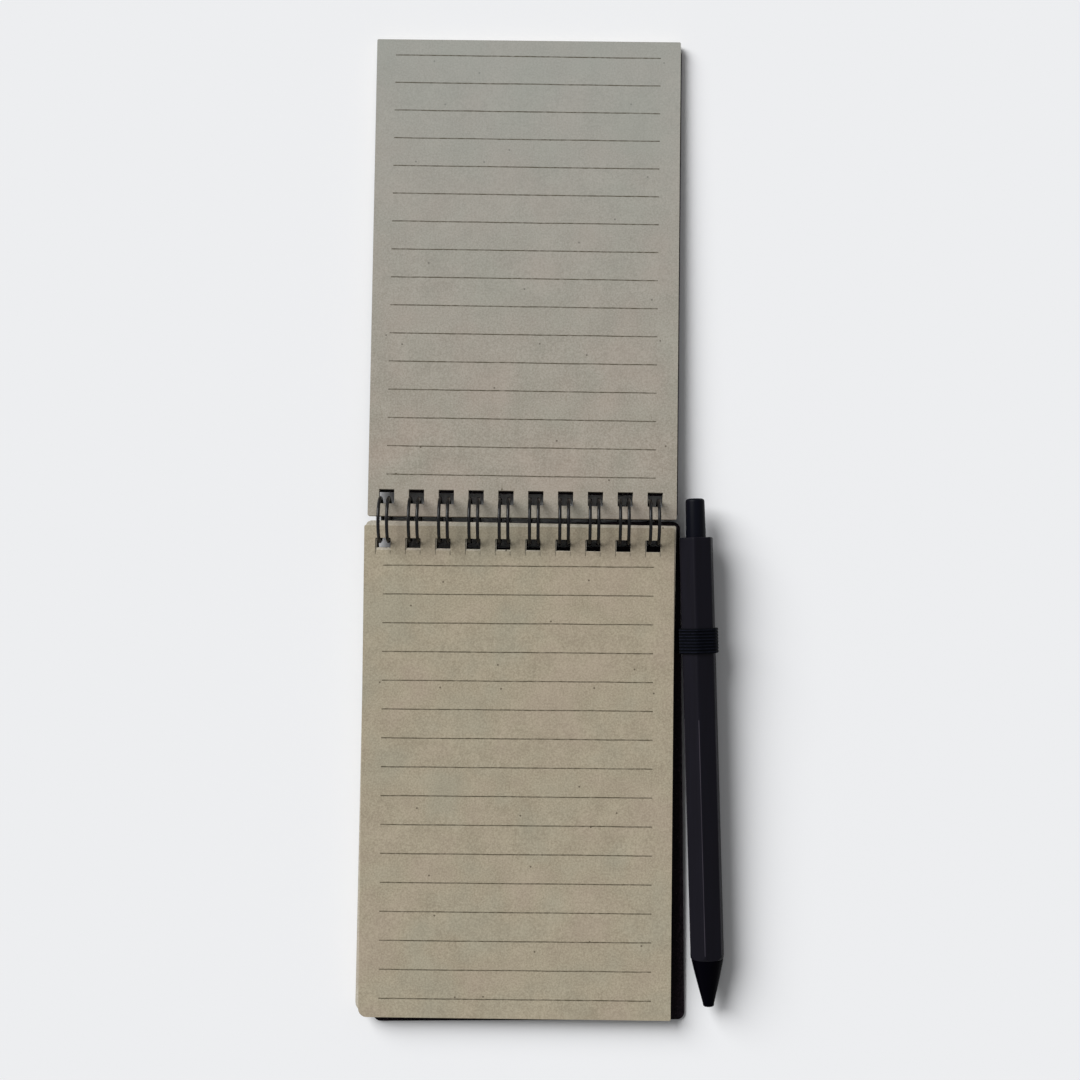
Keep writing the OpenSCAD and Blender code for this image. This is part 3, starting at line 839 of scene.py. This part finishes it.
def addBand(bm, count):  # round the pen
    half = elastic["width"] / 2
    edges = first = startRing(bm, -half, lambda a: sectionRadius(a, elastic["gap"]), pen["sides"])
    for k in range(count + 1):
        z = -half + elastic["width"] * k / count
        grow = elastic["low"] + (elastic["high"] - elastic["low"]) * ribHeight(z)
        edges = ringAt(bm, edges, z, lambda a: sectionRadius(a, grow))
    edges = ringAt(bm, edges, half, lambda a: sectionRadius(a, elastic["gap"]))
    bmesh.ops.bridge_loops(bm, edges=edges + first)


def addTail(bm, count):  # the glued end, flat in the cover
    length = elastic["tailRight"] - elastic["tailLeft"]
    made = bmesh.ops.create_grid(bm, x_segments=elastic["tailSteps"], y_segments=count, size=0.5)["verts"]
    for v in made:
        z = v.co.y * elastic["width"]
        x = elastic["tailLeft"] + (v.co.x + 0.5) * length
        groove = elastic["tailGroove"] * (1 - ribHeight(z))
        v.co = Vector((x, elastic["tailTop"] + elastic["tailBelow"] + groove, z))
    faces = list(dict.fromkeys(f for v in made for f in v.link_faces))
    lifted = bmesh.ops.extrude_face_region(bm, geom=faces)["geom"]
    for v in vertsIn(lifted):
        v.co.y = elastic["tailTop"] + elastic["tailDepth"]


def makeElastic():
    bm = bmesh.new()
    count = elastic["ribs"] * elastic["samples"]
    addBand(bm, count)
    addTail(bm, count)
    crownHighlightTo = elastic["width"] / 2 - elastic["hem"]
    for face in bm.faces:  # a painted highlight on the cords' crowns
        z = face.calc_center_median().z
        face.material_index = 1 if ribHeight(z) > elastic["crownHighlightFrom"] and abs(z) < crownHighlightTo else 0
    finishPiece("pen_elastic", bm, penPlane, "rear",
                [elasticMaterial("wovenElastic", elastic["base"], elastic["light"]),
                 elasticMaterial("wovenElasticCrownHighlight", elastic["crownHighlight"], elastic["crownHighlightLight"])],
                replaces=["pen_loop"], sharp=60)


makeElastic()
print("elastic woven")


# Inside the pen: a waxy white acetal cam, a milky polypropylene tube, a turned brass tip and
# a spring of bright drawn steel

insides = {
    "naturalAcetal": {
        "colour": "#dcdcd6", "shade": "#c9c9c2", "metallic": 0.0, "roughness": 0.35, "cloud": 2.0},
    "milkyPolypropylene": {
        "colour": "#dedfd9", "shade": "#c6c8c4", "metallic": 0.0, "roughness": 0.3, "cloud": 3.0},
    "turnedBrass": {
        "colour": "#c9a65e", "shade": "#b48f49", "metallic": 1.0, "roughness": 0.25, "cloud": 0.6},
    "drawnSpringSteel": {
        "colour": "#b9b9bb", "shade": "#a2a2a6", "metallic": 1.0, "roughness": 0.3, "cloud": 0.5},
}


def insideMaterial(name):
    look = insides[name]
    material, tree, shader, place = startMaterial(name, Metallic=look["metallic"],
                                                  Roughness=look["roughness"])
    cloud = noise(tree, place, look["cloud"], 3.0)
    tree.links.new(blendColours(tree, cloud, look["colour"], look["shade"]), shader.inputs["Base Color"])
    return material


spring = {
    "radius": 2.05, "wire": 0.2, "wireSides": 10, "clear": 0.05, "turns": 9, "stepsPerTurn": 24,
    "length": 17.85, "travel": 4.5,
}


def makeSpring():
    bm = bmesh.new()
    seat = barrel["top"] - barrel["length"] - nose["length"] + nose["mouthLength"]
    end, steps = spring["wire"] + spring["clear"], spring["turns"] * spring["stepsPerTurn"]
    rise = (spring["length"] - 2 * end) / steps
    made = bmesh.ops.create_circle(bm, cap_ends=True, segments=spring["wireSides"], radius=spring["wire"],
                                   matrix=moved(spring["radius"], 0, seat + end) @ turned(90, "X"))
    edges = spun(bm, edgesAt(made["verts"]), (0, 0, 0), (0, 0, 1), 2 * math.pi * spring["turns"], steps,
                 rise)
    closeRing(bm, edges)
    piece = finishPiece("pen_return_spring", bm, penPlane, "rear", [insideMaterial("drawnSpringSteel")],
                        replaces=["pen_spring"], sharp=0)
    piece.data.shade_smooth()
    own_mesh(piece)


dressNode("pen_cam", insideMaterial("naturalAcetal"))
dressNode("refill_tube", insideMaterial("milkyPolypropylene"))
dressNode("refill_tip", insideMaterial("turnedBrass"))
makeSpring()
print("pen's inside dressed")

bpy.context.scene.view_settings.view_transform = "Standard"
